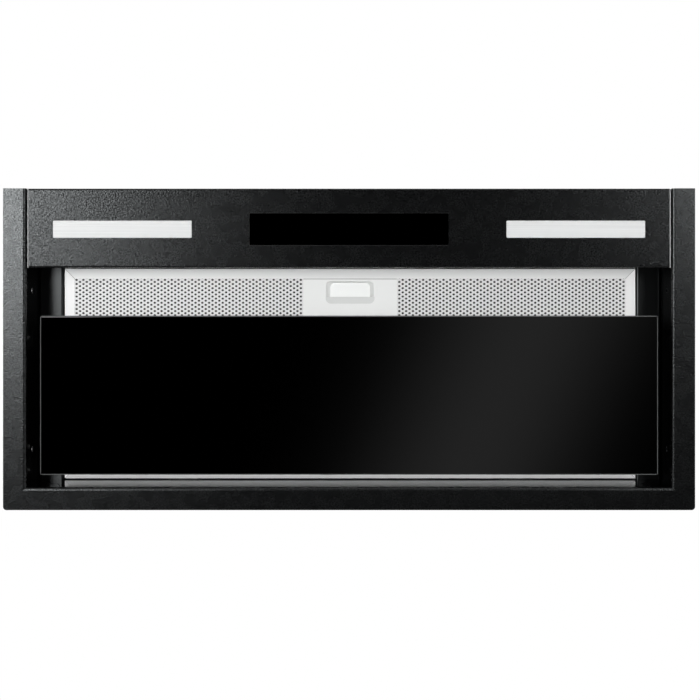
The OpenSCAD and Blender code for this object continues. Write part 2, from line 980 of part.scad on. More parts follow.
// One forward-curved blade: points along an arc from the inner to the outer radius
blade_steps = 4;
blade_sweep = 13;
blade_bulge = 5;
function blade_angle(t) = blade_sweep * t + blade_bulge * sin(180 * t);
function blade_point(t, side) =
    let (r = blade_in_r + (impeller_r - blade_in_r) * t)
    let (a = blade_angle(t) + side * blade_t / 2 / r * 180 / PI)
    [r * cos(a), r * sin(a)];

module blade_shape() {
    polygon(concat(
        [for (k = [0:blade_steps]) blade_point(k / blade_steps, 1)],
        [for (k = [blade_steps:-1:0]) blade_point(k / blade_steps, -1)]
    ));
}

module impeller() {
    disc_t = 2;
    disc_inset = 1.5;
    ring_t = 2.4;
    ring_w = 5;
    ring_proud = 0.6;
    hub_r = 11;
    vent_r = 9;
    vent_ring = 34;
    color("#2a2c2f")
        translate([0, blower_mid, blower_z])
            difference() {
                union() {
                    along_x(-impeller_half, impeller_half)
                        for (k = [0:blade_n - 1])
                            rotate(k * 360 / blade_n)
                                blade_shape();
                    along_x(-disc_t / 2, disc_t / 2)
                        circle(impeller_r - disc_inset);
                    for (x = [-impeller_half, impeller_half - ring_t])
                        along_x(x, x + ring_t)
                            difference() {
                                circle(impeller_r + ring_proud);
                                circle(impeller_r - ring_w);
                            }
                    along_x(-disc_t / 2, hub_len)
                        circle(hub_r);
                }
                rotate([0, 90, 0])
                    cylinder(h = 4 * hub_len, r = shaft_r, center = true);
                along_x(-disc_t, disc_t)
                    for (k = [0:5])
                        rotate(k * 60)
                            translate([vent_ring, 0])
                                circle(vent_r);
            }
}

module motor_shaft() {
    color("#c4c7c9")
        translate([motor_x0 - shaft_tail, blower_mid, blower_z])
            rotate([0, 90, 0])
                cylinder(h = shaft_tail - motor_x0 + hub_len + shaft_nose, r = shaft_r);
}

module motor() {
    nose_r = 13;
    nose_len = 4;
    edge_r = 6;
    color("#7c8084")
        translate([motor_x0, blower_mid, blower_z])
            rotate([0, 90, 0])
                difference() {
                    union() {
                        rotate_extrude() {
                            rect([0, 0], [motor_r - edge_r, motor_len]);
                            rect([0, edge_r], [motor_r, motor_len - edge_r]);
                            for (z = [edge_r, motor_len - edge_r])
                                translate([motor_r - edge_r, z])
                                    circle(edge_r);
                        }
                        translate([0, 0, -nose_len])
                            cylinder(h = motor_len + 2 * nose_len, r = nose_r);
                    }
                    translate([0, 0, -nose_len - cut])
                        cylinder(h = motor_len + 2 * nose_len + 2 * cut, r = shaft_r + shaft_fit);
                    for (k = [0:7])
                        rotate(k * 45)
                            translate([motor_r - 14, 0, -cut])
                                cylinder(h = 4, r = 4);
                }
}

// Angles of the three arms, away from the scroll's cutoff
arm_angles = [30, 150, 270];

module motor_bracket() {
    hoop = 8;
    color("#a4a8ab")
        translate([0, blower_mid, blower_z])
            along_x(bracket_x0, bracket_x0 + motor_bracket_t)
                difference() {
                    union() {
                        circle(motor_r + hoop);
                        for (a = arm_angles)
                            rotate(a) {
                                rect([0, -arm_w / 2], [bush_ring_r, arm_w / 2]);
                                translate([bush_ring_r, 0])
                                    circle(arm_w / 2);
                            }
                    }
                    circle(motor_r);
                }
}

module motor_bushes() {
    waist = 1;
    color("#1a1a1a")
        translate([0, blower_mid, blower_z])
            for (a = arm_angles)
                rotate([a, 0, 0])
                    translate([bracket_x0 + motor_bracket_t, bush_ring_r, 0])
                        rotate([0, 90, 0])
                            rotate_extrude()
                                difference() {
                                    rect([0, 0], [bush_r, bush_len]);
                                    translate([bush_r + bush_len / 4 - waist, bush_len / 2])
                                        circle(bush_len / 4);
                                }
}

// Electrics: capacitor on the roof, control box on the left side plate, junction box on top

capacitor_x = 120;
capacitor_y = blower_mid + 40;
clip_t = 1.2;
clip_w = 14;
clip_foot = 14;
capacitor_z = roof_in - 2 * clip_t - capacitor_r;

module capacitor() {
    crimp = 1.2;
    color("#d5d7d8")
        translate([capacitor_x, capacitor_y, capacitor_z])
            rotate([0, 90, 0])
                rotate_extrude()
                    difference() {
                        rect([0, 0], [capacitor_r, capacitor_len]);
                        translate([capacitor_r + 0.4, capacitor_len - 6])
                            circle(crimp);
                    }
}

module capacitor_clip() {
    mid = capacitor_x + capacitor_len / 2;
    foot = capacitor_r + clip_foot;
    color("#b0b3b5")
        translate([0, capacitor_y, 0])
            along_x(mid - clip_w / 2, mid + clip_w / 2)
                difference() {
                    union() {
                        translate([0, capacitor_z])
                            circle(capacitor_r + clip_t);
                        rect([-foot, roof_in - clip_t], [foot, roof_in]);
                        rect([-clip_t, capacitor_z + capacitor_r], [clip_t, roof_in]);
                    }
                    translate([0, capacitor_z])
                        circle(capacitor_r);
                }
}

control_box_mid = (housing_y0 + housing_y1) / 2;
control_box_lift = 60;
control_box_z0 = deck_top + control_box_lift;
control_box_x = -housing_x + sheet_t;
control_box_r = 6;
box_vent_n = 6;
box_vent_pitch = 16;
box_vent_len = 10;
box_vent_in = 8;
lid_t = 2;
lid_lip = 1.5;
louvre_n = 8;
louvre_pitch = 8;
louvre_h = 3;
louvre_margin = 25;
louvre_up = 17;

module control_box() {
    color("#e4e4df")
        difference() {
            along_x(control_box_x, control_box_x + control_box_d)
                translate([control_box_mid, control_box_z0])
                    round_rect([-control_box_w / 2, 0], [control_box_w / 2, control_box_h], control_box_r);
            for (k = [0:box_vent_n - 1])
                translate([control_box_x + box_vent_in,
                    control_box_mid + (k - (box_vent_n - 1) / 2) * box_vent_pitch - box_vent_len / 2,
                    control_box_z0 + control_box_h - lid_t])
                    cube([box_vent_len, box_vent_len, lid_t + cut]);
        }
}

module control_box_lid() {
    x0 = control_box_x + control_box_d;
    color("#dcdcd6")
        difference() {
            along_x(x0, x0 + lid_t)
                translate([control_box_mid, control_box_z0])
                    round_rect([-control_box_w / 2 - lid_lip, -lid_lip],
                        [control_box_w / 2 + lid_lip, control_box_h + lid_lip], control_box_r + lid_lip);
            for (k = [0:louvre_n - 1])
                translate([x0 + lid_t / 2, control_box_mid - control_box_w / 2 + louvre_margin,
                    control_box_z0 + louvre_up + k * louvre_pitch])
                    cube([lid_t, control_box_w - 2 * louvre_margin, louvre_h]);
        }
}

junction_in = 24;
junction_x = -housing_x + junction_in;
junction_y = outlet_mid - junction_d / 2;
junction_wall = 2;
junction_r = 4;
lug_w = 14;
lug_len = 10;
lug_in = 12;
lug_t = 3;
lug_r = 5;
cover_t = 2.5;
cover_lip = 1;
cover_screw_in = 7;
cover_screw_r = 3.2;

module junction_box() {
    color("#2f3133")
        difference() {
            union() {
                along_z(roof, roof + junction_h)
                    round_rect([junction_x, junction_y],
                        [junction_x + junction_w, junction_y + junction_d], junction_r);
                for (x = [junction_x + lug_in, junction_x + junction_w - lug_in])
                    along_z(roof, roof + lug_t)
                        round_rect([x - lug_w / 2, junction_y - lug_len],
                            [x + lug_w / 2, junction_y + junction_d + lug_len], lug_r);
            }
            along_z(roof + junction_wall, roof + junction_h + cut)
                round_rect([junction_x + junction_wall, junction_y + junction_wall],
                    [junction_x + junction_w - junction_wall, junction_y + junction_d - junction_wall],
                    junction_r - junction_wall);
            translate([junction_x - cut, junction_y + junction_d / 2, roof + junction_h / 2])
                rotate([0, 90, 0])
                    cylinder(h = junction_wall + 2 * cut, r = gland_r + 2);
        }
}

module junction_cover() {
    z0 = roof + junction_h;
    color("#2a2c2e")
        difference() {
            along_z(z0, z0 + cover_t)
                round_rect([junction_x - cover_lip, junction_y - cover_lip],
                    [junction_x + junction_w + cover_lip, junction_y + junction_d + cover_lip],
                    junction_r + cover_lip);
            for (s = [-1, 1])
                translate([
                    junction_x + junction_w / 2 + s * (junction_w / 2 - cover_screw_in),
                    junction_y + junction_d / 2 + s * (junction_d / 2 - cover_screw_in),
                    z0 + cover_t / 2
                ])
                    cylinder(h = cover_t, r = cover_screw_r);
        }
}

// Gland: a threaded stub in the box's wall, a hexagon and a domed nut, bored for the cable
module cable_gland() {
    stub = gland_r + 2;
    hex_r = gland_r + 6;
    hex_h = 5;
    nut_r = gland_r + 4.5;
    nut_h = 7;
    dome_r = 3;
    tail = junction_wall + 3;
    color("#1d1e1f")
        translate([junction_x, junction_y + junction_d / 2, roof + junction_h / 2])
            rotate([0, -90, 0])
                difference() {
                    union() {
                        translate([0, 0, -tail])
                            cylinder(h = tail, r = stub);
                        cylinder(h = hex_h, r = hex_r, $fn = 6);
                        rotate_extrude() {
                            rect([0, hex_h], [nut_r, hex_h + nut_h]);
                            rect([0, hex_h + nut_h], [nut_r - dome_r, hex_h + nut_h + dome_r]);
                            translate([nut_r - dome_r, hex_h + nut_h])
                                circle(dome_r);
                        }
                    }
                    translate([0, 0, -tail - cut])
                        cylinder(h = tail + hex_h + nut_h + dome_r + 2 * cut, r = gland_r);
                }
}

// Outlet collar with its pin bosses and flap stops

module outlet_collar() {
    base_x = collar_r + 10;
    base_y1 = housing_y1 - outlet_mid;
    bead = 1.2;
    bead_z = 12;
    color("#232527")
        translate([0, outlet_mid, roof]) {
            difference() {
                union() {
                    along_z(0, collar_base_t)
                        round_rect([-base_x, -collar_r - 6], [base_x, base_y1], 4);
                    cylinder(h = collar_h, r = collar_r);
                    rotate_extrude()
                        translate([collar_r, bead_z])
                            circle(bead);
                }
                translate([0, 0, -cut])
                    cylinder(h = collar_h + 2 * cut, r = collar_in);
            }
            for (s = [-1, 1])
                on_side(s)
                    pin_boss();
            flap_stops();
        }
}

// Boss on the collar's inner wall that holds one end of the flap pin
module pin_boss() {
    difference() {
        translate([collar_in - boss_len, 0, flap_pin_z])
            rotate([0, 90, 0])
                cylinder(h = boss_len + collar_t / 2, r = boss_r);
        translate([0, 0, flap_pin_z])
            rotate([0, 90, 0])
                cylinder(h = collar_in, r = flap_pin_r);
    }
}

// Ledge under the closed flaps, open beside the pin
module flap_stops() {
    top = flap_pin_z - flap_t / 2 - stop_gap;
    difference() {
        translate([0, 0, top - stop_h])
            difference() {
                cylinder(h = stop_h, r = collar_in + collar_t / 2);
                translate([0, 0, -cut])
                    cylinder(h = stop_h + 2 * cut, r = collar_in - stop_w);
            }
        block([-collar_r, -10, top - stop_h - cut], [collar_r, 10, top + cut]);
    }
}

module flap_pin() {
    half = collar_in - 0.2;
    color("#c4c7c9")
        translate([-half, outlet_mid, pin_z])
            rotate([0, 90, 0])
                cylinder(h = 2 * half, r = flap_pin_r);
}

// Half-round flap on the rear side of the pin, with its knuckles between x0 and x1
module flap(knuckles) {
    side_gap = boss_len + 1;
    translate([0, 0, -flap_t / 2])
        linear_extrude(flap_t)
            difference() {
                intersection() {
                    circle(flap_r);
                    rect([-flap_r, flap_start], [flap_r, flap_r]);
                }
                for (s = [-1, 1])
                    translate([s * collar_in, 0])
                        circle(side_gap + boss_r);
            }
    for (k = knuckles)
        difference() {
            union() {
                along_x(k[0], k[1])
                    circle(knuckle_r);
                block([k[0], 0, -flap_t / 2], [k[1], flap_start + 1, flap_t / 2]);
            }
            along_x(k[0] - cut, k[1] + cut)
                circle(flap_pin_r + knuckle_fit);
        }
}

module flap_rear() {
    color("#d9dadb")
        translate([0, outlet_mid, pin_z])
            flap([[-44, -34], [-6, 6], [34, 44]]);
}

module flap_front() {
    color("#d9dadb")
        translate([0, outlet_mid, pin_z])
            mirror([0, 1, 0])
                flap([[-33, -23], [23, 33]]);
}

// Hinges of the glass panel: brackets under the ledges, and their pins

module hinge_bracket(side) {
    color("#3b3d40")
        on_side(side)
            difference() {
                union() {
                    along_x(bracket_x, bracket_x + bracket_t) {
                        translate([hinge_y, hinge_z])
                            circle(ear_r);
                        rect([hinge_y - ear_r, hinge_z], [hinge_y + ear_r, filter_z]);
                    }
                    along_z(filter_z - bracket_t, filter_z)
                        round_rect([bracket_x, hinge_y - foot_len / 2],
                            [bracket_x + foot_w, hinge_y + foot_len / 2], 1.4);
                }
                translate([bracket_x - cut, hinge_y, hinge_z])
                    rotate([0, 90, 0])
                        cylinder(h = bracket_t + 2 * cut, r = hinge_pin_r);
            }
}

module hinge_bracket_left() {
    hinge_bracket(-1);
}

module hinge_bracket_right() {
    hinge_bracket(1);
}

module hinge_pins() {
    head_r = hinge_pin_r + 1.5;
    head_t = 1.2;
    play = 0.3;
    color("#c9cbcc")
        for (s = [-1, 1])
            on_side(s)
                translate([0, hinge_y, hinge_z])
                    rotate([0, 90, 0]) {
                        translate([0, 0, ear_x - play])
                            cylinder(h = bracket_x + bracket_t + head_t - ear_x + play, r = hinge_pin_r);
                        translate([0, 0, ear_x - play - head_t])
                            cylinder(h = head_t, r = head_r);
                        translate([0, 0, bracket_x + bracket_t])
                            cylinder(h = head_t, r = head_r);
                    }
}

// Catches: a bracket under each ledge whose shelf holds a magnet above the carrier

module catch_bracket(side) {
    y0 = magnet_y - catch_w / 2;
    y1 = magnet_y + catch_w / 2;
    color("#3b3d40")
        on_side(side)
            along_y(y0, y1) {
                rect([bracket_x, shelf_z], [bracket_x + bracket_t, filter_z]);
                rect([bracket_x, filter_z - bracket_t], [bracket_x + foot_w, filter_z]);
                rect([magnet_x - magnet_r, shelf_z], [bracket_x + bracket_t, shelf_z + bracket_t]);
            }
}

module catch_bracket_left() {
    catch_bracket(-1);
}

module catch_bracket_right() {
    catch_bracket(1);
}

module catch_magnets() {
    color("#8f9396")
        for (s = [-1, 1])
            translate([s * magnet_x, magnet_y, magnet_z])
                cylinder(h = magnet_h, r = magnet_r);
}

// Glass panel, its steel carrier and the adhesive between them

module glass_panel() {
    edge_r = 1.2;
    color("#060607")
        intersection() {
            along_z(glass_z, glass_top)
                round_rect([-panel_x, panel_y0], [panel_x, panel_y1], 2);
            along_y(panel_y0 - cut, panel_y1 + cut)
                round_foot([-panel_x, glass_z], [panel_x, glass_top + cut], edge_r);
            along_x(-panel_x - cut, panel_x + cut)
                round_foot([panel_y0, glass_z], [panel_y1, glass_top + cut], edge_r);
        }
}

carrier_rib = 26;

module panel_tape() {
    half = 5;
    color("#1f1f20")
        for (y = [carrier_y0 + 12, carrier_y1 - 12])
            block([-carrier_x + 10, y - half, glass_top], [carrier_x - 10, y + half, carrier_z]);
}

module panel_carrier() {
    bays = 4;
    bay_w = (2 * carrier_x - (bays + 1) * carrier_rib) / bays;
    color("#2c2e31")
        difference() {
            union() {
                difference() {
                    block([-carrier_x, carrier_y0, carrier_z], [carrier_x, carrier_y1, carrier_top]);
                    block([-carrier_x + carrier_t, carrier_y0 + carrier_t, carrier_z + carrier_t],
                        [carrier_x - carrier_t, carrier_y1 - carrier_t, carrier_top + cut]);
                }
                for (s = [-1, 1])
                    on_side(s)
                        carrier_end();
            }
            along_z(carrier_z - cut, carrier_z + carrier_t + cut)
                for (k = [0:bays - 1])
                    round_rect(
                        [-carrier_x + carrier_rib + k * (bay_w + carrier_rib), carrier_y0 + carrier_rib],
                        [-carrier_x + (k + 1) * (bay_w + carrier_rib), carrier_y1 - carrier_rib],
                        8
                    );
            for (s = [-1, 1])
                on_side(s)
                    translate([ear_x - cut, hinge_y, hinge_z])
                        rotate([0, 90, 0])
                            cylinder(h = ear_t + 2 * cut, r = hinge_pin_r + hinge_fit);
        }
}

// Right end of the carrier: the strike under the magnet, and the hinge ear on its web
module carrier_end() {
    web = 26;
    block([magnet_x - magnet_r, magnet_y - catch_w / 2, carrier_top - carrier_t],
        [carrier_x, magnet_y + catch_w / 2, carrier_top]);
    block([carrier_x - carrier_t, carrier_y1 - web, carrier_top - carrier_t],
        [ear_x + ear_t, carrier_y1, carrier_top]);
    along_x(ear_x, ear_x + ear_t) {
        translate([hinge_y, hinge_z])
            circle(ear_r);
        rect([hinge_y - ear_r, carrier_top - carrier_t], [hinge_y, hinge_z]);
        rect([carrier_y1 - web, carrier_top - carrier_t], [hinge_y, hinge_z - 1]);
    }
}

// Grease filter: mitred channel rails, perforated sheets and the mesh between them

module filter_frame() {
    groove_x = filter_x - rail_t;
    color("#cfd1d2")
        difference() {
            block([-filter_x, filter_y0, filter_z], [filter_x, filter_y1, filter_top]);
            block([-filter_x + rail_w, filter_y0 + rail_w, filter_z - cut],
                [filter_x - rail_w, filter_y1 - rail_w, filter_top + cut]);
            block([-groove_x, filter_y0 + rail_t, filter_z + rail_t],
                [groove_x, filter_y1 - rail_t, filter_top - rail_t]);
            for (s = [-1, 1])
                on_side(s)
                    for (corner = [[filter_y0, 1], [filter_y1, -1]])
                        translate([filter_x, corner[0], filter_z])
                            rotate(atan2(corner[1], -1))
                                block([-cut, -mitre_w / 2, -cut],
                                    [rail_w * sqrt(2) + cut, mitre_w / 2, mitre_h]);
            for (s = [-1, 1])
                block([s * (arm_x + tongue_w / 2) - tongue_w / 2 - window_gap, filter_y0 - cut, face_z],
                    [s * (arm_x + tongue_w / 2) + tongue_w / 2 + window_gap, filter_y0 + rail_t + cut,
                        slider_z + slider_t + window_gap]);
        }
}

// Field of holes in staggered rows, clear of the rails and of the latch plate
module perforation() {
    x_lim = filter_x - rail_w - perf_margin;
    y0 = filter_y0 + rail_w + perf_margin;
    y1 = filter_y1 - rail_w - perf_margin;
    rows = floor((y1 - y0) / perf_pitch_y);
    cols = floor(2 * x_lim / perf_pitch_x);
    start_x = -cols * perf_pitch_x / 2;
    start_y = (y0 + y1 - rows * perf_pitch_y) / 2;
    for (j = [0:rows])
        for (i = [0:cols - j % 2]) {
            x = start_x + (i + (j % 2) / 2) * perf_pitch_x;
            y = start_y + j * perf_pitch_y;
            if (abs(x) > latch_w / 2 + perf_margin || y > latch_y1 + perf_margin)
                translate([x, y])
                    circle(perf_r);
        }
}

module filter_outline(play) {
    rect([-filter_x + rail_t + play, filter_y0 + rail_t + play],
        [filter_x - rail_t - play, filter_y1 - rail_t - play]);
}

module latch_pocket() {
    rect([-pocket_x, filter_y0], [pocket_x, pocket_y1]);
}

module filter_face() {
    color("#d8dadb")
        along_z(face_z, face_z + face_t)
            difference() {
                filter_outline(0);
                latch_pocket();
                perforation();
            }
}

module filter_pack() {
    color("#a9acae")
        along_z(face_z + face_t, back_z)
            difference() {
                filter_outline(pack_play);
                latch_pocket();
            }
}

module filter_back() {
    color("#c2c5c7")
        along_z(back_z, back_z + face_t)
            difference() {
                filter_outline(0);
                perforation();
            }
}

// Two hooks on the rear rail that sit in the well's rear wall
module filter_tabs() {
    color("#c2c5c7")
        for (s = [-1, 1])
            block([s * tab_x - tab_w / 2, filter_y1, tab_z],
                [s * tab_x + tab_w / 2, well_y + tab_reach, tab_z + tab_t]);
}

// Latch: a plate with a sunk finger cup, a slider round the cup, and its spring

module recess_shape(inset, front_inset) {
    round_rect([-recess_w / 2 + inset, recess_y0 + front_inset],
        [recess_w / 2 - inset, recess_y1 + cup_rear - min(inset, 0)], recess_r - 1);
}

// The finger cup narrows towards its top
module cup(grow) {
    hull() {
        along_z(filter_z - (grow > 0 ? 0 : cut), filter_z + 0.1)
            recess_shape(-grow, -grow, $fn = 32);
        along_z(filter_z + recess_h + grow - 0.1, filter_z + recess_h + grow)
            recess_shape(cup_slope - grow, cup_front_slope - grow, $fn = 32);
    }
}

module latch_plate() {
    slot_x = arm_x - 1;
    weld = 0.05;
    color("#d3d5d6")
        difference() {
            union() {
                along_z(filter_z, face_z)
                    round_rect([-latch_w / 2, latch_y0], [latch_w / 2, latch_y1], 1);
                difference() {
                    cup(cup_wall);
                    block([-pocket_x, recess_y0 - recess_d, filter_z - 2 * cut],
                        [pocket_x, recess_y1 + recess_d, face_z - weld]);
                }
                block([-slot_x, pocket_y1 - spring_stop, face_z - weld],
                    [slot_x, pocket_y1, slider_z + slider_t]);
            }
            along_z(filter_z - cut, face_z + weld)
                round_rect([-recess_w / 2, recess_y0], [recess_w / 2, recess_y1], recess_r);
            difference() {
                cup(0);
                block([-pocket_x, recess_y0, filter_z - 2 * cut],
                    [pocket_x, recess_y1 + recess_d, face_z]);
            }
            block([-slot_x, lip_y - slider_gap, face_z],
                [slot_x, recess_y1 + recess_d / 2, slider_z + slider_t + slider_gap]);
        }
}

module latch_slider() {
    arm_end = arm_x + tongue_w;
    flange_x = recess_w / 2 - cup_slope - 1;
    color("#c7cacb") {
        along_z(slider_z, slider_z + slider_t) {
            rect([-arm_x + 2, lip_y], [arm_x - 2, slider_rear]);
            rect([-arm_end, tongue_y], [-arm_x, slider_rear]);
            rect([arm_x, tongue_y], [arm_end, slider_rear]);
            rect([-arm_end, recess_y1 + 3], [arm_end, slider_rear]);
        }
        block([-flange_x, lip_y, slider_z], [flange_x, lip_y + lip_t, slider_z + lip_h]);
    }
}

// Flat serpentine spring between the slider and its stop: straight legs joined by half rings
module latch_spring() {
    strip = 0.8;
    legs = 5;
    half = 16;
    pitch = (spring_y1 - spring_y0 - strip) / (legs - 1);
    color("#9ea2a5")
        along_z(slider_z, slider_z + 1)
            translate([0, spring_y0 + strip / 2]) {
                for (k = [0:legs - 1])
                    rect([-half, k * pitch - strip / 2], [half, k * pitch + strip / 2]);
                for (k = [0:legs - 2])
                    translate([(k % 2 == 0 ? 1 : -1) * half, (k + 0.5) * pitch])
                        scale([k % 2 == 0 ? 1 : -1, 1])
                            difference() {
                                intersection() {
                                    circle((pitch + strip) / 2);
                                    rect([0, -pitch], [pitch, pitch]);
                                }
                                circle((pitch - strip) / 2);
                            }
            }
}

frame();
control_band();
filter_deck();
deck_rivets();
control_cover();
lamp_lens_left();
lamp_lens_right();
lamp_module_left();
lamp_module_right();
touch_glass();
touch_board();
housing_wrap();
housing_side_left();
housing_side_right();
housing_rivets();
scroll_left();
scroll_right();
motor();
motor_bracket();
motor_bushes();
capacitor();
capacitor_clip();
control_box();
control_box_lid();
junction_box();
junction_cover();
cable_gland();
outlet_collar();
flap_pin();
flap_front();
flap_rear();
impeller();
motor_shaft();
hinge_bracket_left();
hinge_bracket_right();
hinge_pins();
catch_bracket_left();
catch_bracket_right();
catch_magnets();
filter_frame();
filter_face();
filter_pack();
filter_back();
filter_tabs();
latch_plate();
latch_slider();
latch_spring();
glass_panel();
panel_carrier();
panel_tape();
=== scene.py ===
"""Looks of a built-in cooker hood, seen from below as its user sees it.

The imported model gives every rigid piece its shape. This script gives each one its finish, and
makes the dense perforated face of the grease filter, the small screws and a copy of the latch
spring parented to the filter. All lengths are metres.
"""

import math

import bmesh
import bpy
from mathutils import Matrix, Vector


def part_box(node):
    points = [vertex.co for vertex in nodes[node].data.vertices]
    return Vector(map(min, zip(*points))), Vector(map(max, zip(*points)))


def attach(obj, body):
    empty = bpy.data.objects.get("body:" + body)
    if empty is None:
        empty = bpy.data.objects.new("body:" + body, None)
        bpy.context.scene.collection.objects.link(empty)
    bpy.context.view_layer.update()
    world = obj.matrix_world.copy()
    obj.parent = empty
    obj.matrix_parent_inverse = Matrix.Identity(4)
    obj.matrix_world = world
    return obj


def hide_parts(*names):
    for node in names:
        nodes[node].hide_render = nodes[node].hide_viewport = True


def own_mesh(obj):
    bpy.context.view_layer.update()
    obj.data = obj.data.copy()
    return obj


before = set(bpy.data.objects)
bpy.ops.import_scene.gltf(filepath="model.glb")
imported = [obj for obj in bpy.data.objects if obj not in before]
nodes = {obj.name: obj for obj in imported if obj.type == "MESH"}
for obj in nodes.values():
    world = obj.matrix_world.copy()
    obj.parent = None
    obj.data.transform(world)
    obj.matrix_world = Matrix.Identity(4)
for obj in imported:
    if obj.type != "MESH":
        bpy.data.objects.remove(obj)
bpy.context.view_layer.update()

MM = 0.001
WHITE = (1.0, 1.0, 1.0, 1.0)

# A noise texture seldom leaves this range
NOISE_LOW = 0.3
NOISE_HIGH = 0.7

# Sockets of the Mix node in its colour mode
MIX_FACTOR = 0
MIX_FIRST = 6
MIX_SECOND = 7
MIX_RESULT = 2

# Powder coat: colour, tint of its gloss, grains per metre and depth of its orange peel
COAT_BLACK = (0.0006, 0.0006, 0.0007)
COAT_TINT = (0.94, 0.985, 1.0, 1.0)
COAT_GRAIN = 750.0
COAT_DEPTH = 0.16 * MM
# Between these heights the outside coat turns into the well's smoother one
WELL_FROM = 2.0 * MM
WELL_TO = 5.0 * MM

# Painted highlight along the control band's ends: width, softness and the height that it reaches
END_HIGHLIGHT_WIDTH = 1.2 * MM
END_HIGHLIGHT_BLUR = 0.3 * MM
END_HIGHLIGHT_HEIGHT = 1.0 * MM
# Pale grey of that painted highlight, standing in for light caught by the folded ends
END_HIGHLIGHT_GREY = (0.45, 0.455, 0.46)

# Anodised aluminium of the grease filter
SATIN_METALLIC = 0.15
SATIN_STRETCH = (8.0, 400.0, 400.0)
RAIL_SIDE = (0.93, 0.93, 0.93)
# Cross rails carry painted shade: darker than the side rails, and darker still at their outer edge
RAIL_CROSS_PAINTED_SHADE = (0.875, 0.88, 0.875)
RAIL_EDGE_PAINTED_SHADE = (0.65, 0.66, 0.66)
SEAM_GREY = (0.3, 0.3, 0.3)
SHEET_METAL = (0.79, 0.79, 0.79)
# Painted shade on the walls of the holes
HOLE_PAINTED_SHADE = (0.03, 0.03, 0.03)
# Painted shade: the aluminium rear tabs are coloured near-black like the dark gap around them
TAB_PAINTED_SHADE = (0.04, 0.04, 0.04)

# Moulded pieces of the latch, and the shadow line along the front edge of its plate
LATCH_PALE = (0.90, 0.91, 0.90)
LATCH_LINE = (0.42, 0.42, 0.42)
LATCH_LINE_FROM = 0.5 * MM
LATCH_LINE_TO = 0.9 * MM
SLIDER_PALE = (0.72, 0.73, 0.72)
# Painted shade on the slider's tongues in front of the filter
TONGUE_PAINTED_SHADE = (0.01, 0.01, 0.01)

# Perforated face: staggered columns of oval holes with rolled rims
HOLE_PITCH_X = 6.14 * MM
HOLE_PITCH_Y = 3.76 * MM
HOLE_RX = 1.18 * MM
HOLE_RY = 1.00 * MM
HOLE_SINK = 0.12 * MM
HOLE_SHADE = 0.3 * MM
FACE_T = 0.8 * MM
SHEET_EDGE = 4.0 * MM
# Directions of the eight points of a cell's rectangle, counterclockwise from its right side
CELL_POINTS = ((1, 0), (1, 1), (0, 1), (-1, 1), (-1, 0), (-1, -1), (0, -1), (1, -1))

# Screw heads: radius and height of each ring in head radii, then those of the driver's star
HEAD_STEPS = 24
HEAD_PROFILE = ((1.0, 0.0), (1.0, 0.28), (0.86, 0.52), (0.55, 0.62))
STAR_PROFILE = ((0.42, 0.63), (0.36, 0.30))
STAR_STEP = 4
STAR_NOTCH = 0.62

# Where the screws sit, measured inwards from the boxes of the pieces, and their head radii
COLLAR_BASE_T = 2.0 * MM
COLLAR_SCREW_IN = 7.0 * MM
COLLAR_SCREW_R = 3.2 * MM
LUG_IN = 12.0 * MM
LUG_LEN = 10.0 * MM
LUG_T = 3.0 * MM
LUG_SCREW_R = 3.0 * MM
LID_SCREW_IN = 8.0 * MM
LID_SCREW_R = 2.7 * MM
BRACKET_T = 1.5 * MM
FOOT_SCREW_IN = 4.8 * MM
FOOT_SCREW_STEP = 10.5 * MM
FOOT_SCREW_R = 2.2 * MM

# Floor: height, size, and how much its shown emission adds near the middle and far away
FLOOR_Z = -1.6
FLOOR_SIZE = 14.0
FLOOR_LIFT_NEAR = 0.5
FLOOR_LIFT_FAR = 0.8
FLOOR_NEAR = 1.0
FLOOR_FAR = 4.5

# Black card under the hood: size, height over the floor, and the glow along its rim
CARD_X = 5.0
CARD_Y = 4.4
CARD_LIFT = 0.01
CARD_GLOW = 0.8
CARD_GLOW_FROM = 0.7

# Soft diagonal strip of light on the card, which the glass panel mirrors
STRIP_PEAK = 0.39
STRIP_X = 0.289
STRIP_Y = 0.07
STRIP_ANGLE = math.radians(23.2)
STRIP_SPREAD = 0.165
STRIP_MIDDLE_Y = 0.065
STRIP_HALF_LENGTH = 0.18
STRIP_END = 0.05

WORLD_FILL = 0.4

# Camera: under the hood, looking straight up, with the hood's front at the top of the picture
CAMERA_PLACE = (0.022, -0.1927, -1.08)
CAMERA_LENS = 64.0
CAMERA_SENSOR = 36.0
CAMERA_SHIFT_X = -0.0349
CAMERA_SHIFT_Y = -0.1053


def add_node(tree, kind, inputs=(), **settings):
    """A new node of a tree, with its settings and the values or links of its inputs."""
    made = tree.nodes.new("ShaderNode" + kind)
    for name, value in settings.items():
        setattr(made, name, value)
    for key, value in dict(inputs).items():
        if isinstance(value, bpy.types.NodeSocket):
            tree.links.new(value, made.inputs[key])
        else:
            made.inputs[key].default_value = value
    return made


def calculate(tree, operation, *values):
    """The result of a Math node on one or two values."""
    return add_node(tree, "Math", dict(enumerate(values)), operation=operation).outputs[0]


